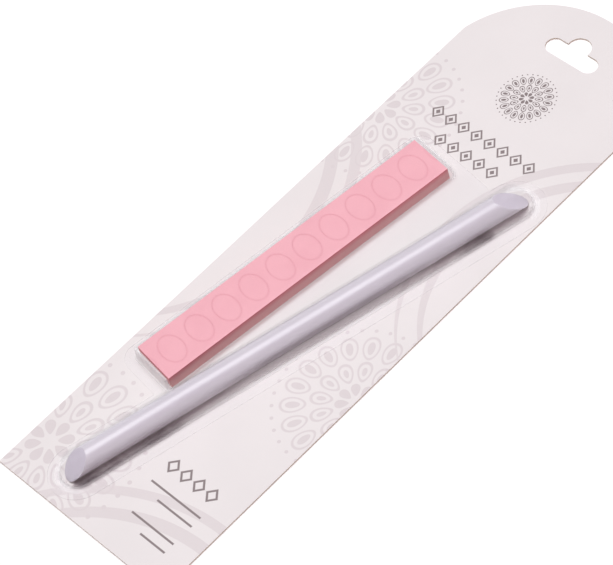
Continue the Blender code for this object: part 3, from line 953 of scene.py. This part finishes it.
# How much each mirrors, how fast that grows towards a glance, and how much less some mirror:
LEAST_MIRROR = 0.012
GLANCE = 5.0
GLANCING_MIRROR = 0.3
STEEP_MIRROR = 0.5
FOOT_MIRROR = 0.10
SEALED_LESS = 0.95
EDGE_LESS = 0.85
CROWN_LESS = 0.7
# How much painted shadow each lays over what lies behind it, and how much of that comes and goes in spots:
FAR_SIDE_SHADE = 0.06
PATCH_SHADOW = 0.5
PATCH_SHARE = 0.6
WALL_BASE_SHADE = 0.2
SHADOW_BASE_SHADE = 0.15
HIGH_WALL_SHADE = 0.3
# What roughens it:
SCUFF_ROUGHNESS = 0.05
FOOT_ROUGHNESS = 0.06
RIM_ROUGHNESS = 0.2
CROWN_ROUGHNESS = 0.16
SCUFF_RELIEF = 0.05
FILM_RELIEF = 0.06 * MM


class FilmMasks:
    """Where the film is sealed, bent or stretched, and where highlights, reflections and shadow are painted
    on it.
    """

    def __init__(self, shading, look):
        place = shading.millimetres()
        by_rod = shading.turned(place, ROD_PLACE)
        by_sheet = shading.turned(place, SHEET_PLACE)
        height = shading.axis(place, "Z") - CARD_HIGH.z / MM
        upward = shading.facing(UP)
        self.ripple = shading.noise(place, scale=0.16, detail=2.0)
        self.scuffs = shading.noise(place, scale=2.4, detail=4.0, roughness=0.7, stretch=(1.0, 0.15, 1.0))
        shadow_patches = shading.noise(by_rod, scale=0.3, detail=3.0, stretch=(1.0, 0.25, 1.0))
        self.shadow_patches = shadow_patches.step(*SHADOW_PATCHES)
        self.outside = upward.step(*OUTER_FACE)
        self.sealed = height.step(*FLANGE_HEIGHTS) * abs(upward).step(*LEVEL_FILM)
        self.cut = (1.0 - abs(upward).step(*CUT_FACE)) * height.step(*CUT_HEIGHTS)
        self.foot = height.band(*FOOT_HEIGHTS)
        self.crown = height.step(*CROWN_HEIGHTS)
        self.wall_base = height.step(*WALL_BASE_HEIGHTS)
        self.glint = height.band(*GLINT_HEIGHTS)
        wandered = shading.noise(by_rod, scale=0.09, detail=2.0) - 0.5
        along = shading.axis(by_rod, "Y") + WANDER * wandered
        self.painted_middle_stretch = along.band(*PAINTED_MIDDLE_STRETCH)
        self.shadow_stretch = along.step(*LOWER_SHADOW_STRETCH) | along.band(*UPPER_SHADOW_STRETCH)
        off_rod = shading.axis(by_rod, "X")
        self.low_wall = off_rod.step(*LOW_WALL_RIGHT) * height.band(*LOW_WALL_HEIGHTS)
        self.high_wall = off_rod.step(*HIGH_WALL_RIGHT) * height.band(*HIGH_WALL_HEIGHTS)
        self.plain_foot = off_rod.step(*FOOT_RIGHT) * (1.0 - self.painted_middle_stretch)
        rod_half = rod_pod_half(look) / MM
        straight = (ROD_LENGTH / 2 + look.rod_end_room) / MM - rod_half
        past = (abs(shading.axis(by_rod, "Y") - ROD_LENGTH / MM / 2) - straight) | 0.0
        outset = (off_rod * off_rod + past * past) ** 0.5 - rod_half
        self.rim = outset.band(*RIM_OUT) * past.step(*RIM_END) * height.step(*RIM_HEIGHTS)
        far_side = off_rod.step(*FAR_SIDE_LEFT) * off_rod.step(*FAR_SIDE_FOOT)
        self.far_side = far_side * past.step(*FAR_SIDE_END) * height.step(*FAR_SIDE_HEIGHTS)
        aside = shading.axis(by_sheet, "X")
        near = aside - SHEET_WIDTH / MM / 2
        far = -SHEET_WIDTH / MM / 2 - aside
        beyond = abs(shading.axis(by_sheet, "Y")) - SHEET_LENGTH / MM / 2
        pod = beyond.step(*POD_END) * (near | far).step(*POD_SIDE)
        self.near_edge = near.band(*NEAR_EDGE) * height.step(*NEAR_EDGE_HEIGHTS)
        self.near_side = near.band(*NEAR_SIDE) * beyond.step(*NEAR_SIDE_END)
        self.end_wall = beyond.step(*END_WALL) * pod * height.step(*END_WALL_HEIGHTS)
        self.far_rim = far.step(*FAR_RIM) * pod * height.step(*FAR_RIM_HEIGHTS)
        self.far_edge = far.step(*FAR_EDGE) * pod * height.step(*FAR_EDGE_HEIGHTS)


def film_whitening(at):
    """How white the film is: most along the foot of its walls, as real whitening of stretched film and a
    painted highlight.
    """
    whiteness = at.foot * (1.0 - at.near_side) * (1.0 - PLAIN_FOOT_LESS * at.plain_foot)
    whiteness = whiteness * (FOOT_WHITENING_AND_HIGHLIGHT + FOOT_RIPPLE * at.ripple)
    # Painted highlights round the rod pod's ends, and painted reflections on its middle stretch.
    whiteness = (whiteness | RIM_HIGHLIGHT * at.rim) + LOW_WALL_REFLECTION * at.low_wall * at.painted_middle_stretch
    # A painted glint on the rod pod's far wall.
    whiteness = whiteness + GLINT_HIGHLIGHT * at.far_side * at.painted_middle_stretch * at.glint
    # A painted reflection on the sheets' end walls and a painted highlight on their far rim.
    whiteness = whiteness + END_WALL_REFLECTION * at.end_wall + FAR_RIM_HIGHLIGHT * at.far_rim
    return LEAST_BLOOM + whiteness * at.outside + CUT_BLOOM * at.cut


def film_mirror(at, facing):
    """How much the film mirrors: most at a glance, and least where it is sealed."""
    steep = at.near_side | (at.low_wall * (1.0 - at.painted_middle_stretch))
    glancing = (GLANCING_MIRROR + STEEP_MIRROR * steep) * facing ** GLANCE
    mirror = LEAST_MIRROR + glancing + FOOT_MIRROR * at.foot
    mirror = mirror * (1.0 - SEALED_LESS * at.sealed) * (1.0 - EDGE_LESS * (at.near_edge | at.far_edge))
    return mirror * (1.0 - CROWN_LESS * at.crown)


def film_painted_shadow(at, facing):
    """How much painted shadow the film lays over what lies behind it: most in spots on the rod pod's right
    wall.
    """
    patchy = PATCH_SHADOW * at.shadow_stretch * (1.0 - PATCH_SHARE + PATCH_SHARE * at.shadow_patches)
    base = at.wall_base * (WALL_BASE_SHADE + SHADOW_BASE_SHADE * at.shadow_stretch)
    right = at.low_wall * (patchy + base) + HIGH_WALL_SHADE * at.high_wall * at.painted_middle_stretch
    # A painted darker line along the rod pod's far wall where it is seen edge on.
    return FAR_SIDE_SHADE * at.far_side * facing ** 2.0 + right


def film_surface(look):
    """Clear glossy film: all but unseen where it is sealed, whitened where it was stretched and by painted
    highlights and reflections, with painted shadow behind some walls.
    """
    shading = new_surface("clear_film")
    at = FilmMasks(shading, look)
    facing = shading.node("ShaderNodeLayerWeight", {}, {"Blend": 0.5}, output="Facing")
    rough = look.gloss + SCUFF_ROUGHNESS * at.scuffs + FOOT_ROUGHNESS * at.foot
    rough = rough + RIM_ROUGHNESS * at.rim + CROWN_ROUGHNESS * at.crown
    normal = shading.bump(at.ripple + SCUFF_RELIEF * at.scuffs, FILM_RELIEF)
    clear = shading.node("ShaderNodeBsdfTransparent", {}, {"Color": paint(look.tint)})
    shadow_filter = shading.node("ShaderNodeBsdfTransparent", {}, {"Color": paint(look.shadow_tint)})
    # Painted highlights and reflections, and the real whitening of stretched film, use this white.
    white = shading.node("ShaderNodeBsdfDiffuse", {}, {"Color": paint(look.haze_and_highlight)})
    shine = shading.node("ShaderNodeBsdfGlossy", {},
                         {"Color": paint(WHITE), "Roughness": rough, "Normal": normal})
    # Painted shadow: a darker tint mixed in by the painted shadow mask.
    through = shading.mix(film_painted_shadow(at, facing), clear, shadow_filter)
    hazy = shading.mix(film_whitening(at), through, white)
    return shading.close(shading.mix(film_mirror(at, facing), hazy, shine))


BEND_STEPS = 8
CROWN_STEPS = 20
ROUND_STEPS = 48
CORNER_STEPS = 12
WEB_STEPS = 16


def wall_levels(look, height, crown, draft, skin):
    """Outsets and heights up a pod's wall: the bend at its foot, the drafted side and the round crown.

    Skin is how far the face stands off the inside of the film: nothing inside, its thickness outside.
    """
    centre = look.foot_radius + look.thickness
    bend = centre - skin
    levels = []
    for i in range(BEND_STEPS + 1):
        turn = math.pi / 2 * i / BEND_STEPS
        z = centre - bend * math.cos(turn)
        levels.append((centre - bend * math.sin(turn) - z * math.tan(draft), z))
    inset = crown_inset(height, crown, draft)
    out = crown + skin
    for i in range(CROWN_STEPS + 1):
        turn = draft + (math.pi / 2 - draft) * i / CROWN_STEPS
        levels.append((out * math.cos(turn) - inset, height - crown + out * math.sin(turn)))
    return levels


def raise_pod(name, half_width, half_length, corner, levels, base, steps):
    """A solid pod: a flat outline pulled up a wall's levels, and closed below."""
    outset, low = levels[0]
    pod = flat_outline(name, half_width + outset, half_length + outset, corner + outset, steps)
    thicken(pod, base, low)
    edit(pod)
    choose("FACE", lambda face: face.normal.z > LOOKS_UP and face.calc_center_median().z > (base + low) / 2)
    for (wide, under), (narrow, over) in zip(levels, levels[1:]):
        bpy.ops.mesh.inset(thickness=wide - narrow, depth=over - under, use_even_offset=True)
    deselect()
    return pod


class CARDED_OT_blister(bpy.types.Operator):
    """Model the formed film with a pod over the pusher and one over the tab sheets"""
    bl_idname = "carded.blister"
    bl_label = "Blister"

    def execute(self, context):
        look = context.scene.carded_set.film
        skin = look.thickness
        rod_half = rod_pod_half(look)
        rod_reach = ROD_LENGTH / 2 + look.rod_end_room
        rod_place = Matrix.Translation((0.0, HINGE_TO_TIP + ROD_LENGTH / 2, 0.0))
        sheet_half = SHEET_WIDTH / 2 + look.sheet_side_room
        sheet_reach = SHEET_LENGTH / 2 + look.sheet_end_room
        sheet_place = PEEL_PLACE.inverted() @ SHEET_PLACE
        sheet_place.translation.z = 0.0
        edge = look.flange
        film = flat_outline("formed_film", rod_half + edge, rod_reach + edge, rod_half + edge, ROUND_STEPS)
        thicken(film, 0.0, skin)
        settle(film, rod_place)
        right = -sheet_place.translation.x / math.cos(ROD_AXIS.angle(SHEET_AXIS))
        left = sheet_half + edge
        web_corner = look.sheet_corner + edge
        web = flat_outline("web_tool", (left + right) / 2, sheet_reach + edge, web_corner, WEB_STEPS)
        thicken(web, 0.0, skin)
        settle(web, sheet_place @ Matrix.Translation(((right - left) / 2, 0.0, 0.0)))
        combine(film, web, "UNION")
        rod_rise = (look.rod_room, ROD_RADIUS + look.rod_top_room, look.rod_draft)
        sheet_rise = (look.sheet_room, look.sheet_edge, look.sheet_draft)
        pods = (("rod_pod", rod_half, rod_reach, rod_half, rod_rise, rod_place, ROUND_STEPS),
                ("sheet_pod", sheet_half, sheet_reach, look.sheet_corner, sheet_rise, sheet_place,
                 CORNER_STEPS))
        for stand_off, base, operation in ((skin, skin / 2, "UNION"), (0.0, -skin, "DIFFERENCE")):
            for name, half, reach_out, corner, rise, place, steps in pods:
                levels = wall_levels(look, *rise, stand_off)
                pod = raise_pod(name, half, reach_out, corner, levels, base, steps)
                settle(pod, place)
                combine(film, pod, operation)
        settle(film, PEEL_PLACE)
        smooth(film)
        dress(film, film_surface(look), "blister", "clear_film", "blister")
        return {"FINISHED"}


# Floor: its size, its gap under the card, the lengths of rays that count as within that gap, and its finish.
FLOOR_SIZE = 8.0
FLOOR_GAP = 0.05 * MM
WITHIN_GAP = (0.3 * MM, 0.2 * MM)
FLOOR_TONE = 0.995
FLOOR_ROUGHNESS = 0.9
# Room: its brightness level with the card, what is added above and below, where its tint turns from left to
# right, how low it is seen white, and each side's share.
FILL_LEVEL = 0.22
FILL_ABOVE = 1.17
FILL_BELOW = 3.0
LEFT_TO_RIGHT = (-0.6, 0.6)
SEEN_WHITE = (0.7, 0.45)
LEFT_SHARE = 0.7
RIGHT_SHARE = 1.7
# Camera, in millimetres for its frame and metres for what it can see.
SENSOR_WIDTH = 36.0
CLIP_NEAR = 0.01
CLIP_FAR = 20.0


def seen_ray(shading):
    """A mask for rays that show a thing, straight, mirrored or through glass."""
    rays = ("Is Camera Ray", "Is Glossy Ray", "Is Transmission Ray")
    return reduce(or_, [shading.node("ShaderNodeLightPath", {}, {}, output=ray) for ray in rays])


def floor_surface(look):
    """Plain pale floor, seen white, that keeps the shadows and lets light up to the back of the card."""
    shading = new_surface("pale_floor")
    tooth = shading.noise(shading.millimetres(), scale=0.2, detail=3.0)
    drawn = shading.blend(tooth, look.floor, toned(look.floor, FLOOR_TONE))
    matt = shading.principled({"Base Color": drawn, "Roughness": FLOOR_ROUGHNESS,
                               "Specular IOR Level": 0.0})
    glow = shading.node("ShaderNodeEmission", {}, {"Color": paint(WHITE), "Strength": look.lift})
    both = shading.node("ShaderNodeAddShader", {}, {0: matt, 1: glow})
    under = shading.node("ShaderNodeNewGeometry", {}, {}, output="Backfacing")
    close_by = shading.node("ShaderNodeLightPath", {}, {}, output="Ray Length").step(*WITHIN_GAP)
    clear = shading.node("ShaderNodeBsdfTransparent", {}, {})
    return shading.close(shading.mix(under | close_by, shading.mix(seen_ray(shading), matt, both), clear))


def room_light(look):
    """The room around: soft fill that is stronger from above, and white low down where it is seen."""
    world = bpy.data.worlds.new("studio")
    bpy.context.scene.world = world
    shading = Shading(world)
    way = shading.node("ShaderNodeTexCoord", {}, {}, output="Generated")
    rise = shading.axis(way, "Z")
    above = rise | 0.0
    below = rise.maths("MINIMUM", rise, 0.0)
    fill = look.fill_light * (FILL_LEVEL + FILL_ABOVE * above - FILL_BELOW * below)
    sides = []
    for tint, part in ((look.left_tint, LEFT_SHARE), (look.right_tint, RIGHT_SHARE)):
        sockets = {"Color": paint(tint), "Strength": fill * part}
        sides.append(shading.node("ShaderNodeBackground", {}, sockets))
    lit = shading.mix(shading.axis(way, "X").step(*LEFT_TO_RIGHT), *sides)
    white = shading.node("ShaderNodeBackground", {}, {"Color": paint(WHITE), "Strength": 1.0})
    low = rise.step(*SEEN_WHITE)
    shading.close(shading.mix(seen_ray(shading) * low, lit, white), "ShaderNodeOutputWorld")


class CARDED_OT_stage(bpy.types.Operator):
    """Set the floor, the soft studio light and the camera"""
    bl_idname = "carded.stage"
    bl_label = "Stage"

    def execute(self, context):
        look = context.scene.carded_set.stage
        deselect()
        bpy.ops.mesh.primitive_plane_add(size=FLOOR_SIZE, location=(0.0, 0.0, CARD_LOW.z - FLOOR_GAP))
        floor = named("floor")
        bpy.ops.object.transform_apply(location=True, rotation=True, scale=True)
        floor.data.materials.append(floor_surface(look))
        room_light(look)
        bpy.ops.object.light_add(type="AREA")
        key = bpy.context.active_object
        key.name = "soft_box"
        key.data.shape = "RECTANGLE"
        key.data.size = look.key_across
        key.data.size_y = look.key_along
        key.data.color = look.key_tint
        key.data.energy = math.pi * look.key_light * look.key_across * look.key_along
        lean = math.tan(look.key_ahead) * ROD_AXIS - math.tan(look.key_aside) * ROD_AXIS.cross(UP)
        middle = look.key_height * (UP + lean)
        key.matrix_world = level_place(middle, ROD_AXIS)
        back = Vector((math.cos(look.elevation) * math.sin(look.azimuth),
                       -math.cos(look.elevation) * math.cos(look.azimuth), math.sin(look.elevation)))
        turn = back.to_track_quat("Z", "Y").to_matrix() @ Matrix.Rotation(look.roll, 3, "Z")
        bpy.ops.object.camera_add()
        camera = bpy.context.active_object
        camera.name = "camera"
        camera.data.sensor_fit = "HORIZONTAL"
        camera.data.sensor_width = SENSOR_WIDTH
        camera.data.lens = look.lens
        camera.data.clip_start = CLIP_NEAR
        camera.data.clip_end = CLIP_FAR
        place = turn.to_4x4()
        place.translation = Vector(look.aim) + look.distance * back
        camera.matrix_world = place
        context.scene.camera = camera
        context.scene.view_settings.view_transform = "Standard"
        return {"FINISHED"}


OPERATORS = (CARDED_OT_backing_card, CARDED_OT_pusher, CARDED_OT_tab_sheets, CARDED_OT_blister,
             CARDED_OT_stage)


class CARDED_PT_set(bpy.types.Panel):
    """Lists the set's pieces, sizes and colours"""
    bl_idname = "CARDED_PT_set"
    bl_label = "Carded Set"
    bl_space_type = "VIEW_3D"
    bl_region_type = "UI"
    bl_category = "Carded Set"

    def draw(self, context):
        settings = context.scene.carded_set
        for operator, part in zip(OPERATORS, ("card", "pusher", "sheets", "film", "stage")):
            box = self.layout.box()
            box.operator(operator.bl_idname)
            group = getattr(settings, part)
            for name in group.__annotations__:
                box.prop(group, name)


CLASSES = (CardSettings, PusherSettings, SheetSettings, FilmSettings, StageSettings, CardedSetSettings,
           *OPERATORS, CARDED_PT_set)


def register():
    for kind in CLASSES:
        bpy.utils.register_class(kind)
    bpy.types.Scene.carded_set = PointerProperty(type=CardedSetSettings)


def unregister():
    del bpy.types.Scene.carded_set
    for kind in reversed(CLASSES):
        bpy.utils.unregister_class(kind)


def main():
    """Register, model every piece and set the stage."""
    register()
    bpy.ops.carded.backing_card()
    bpy.ops.carded.pusher()
    bpy.ops.carded.tab_sheets()
    bpy.ops.carded.blister()
    bpy.ops.carded.stage()
    deselect()


if __name__ == "__main__":
    main()
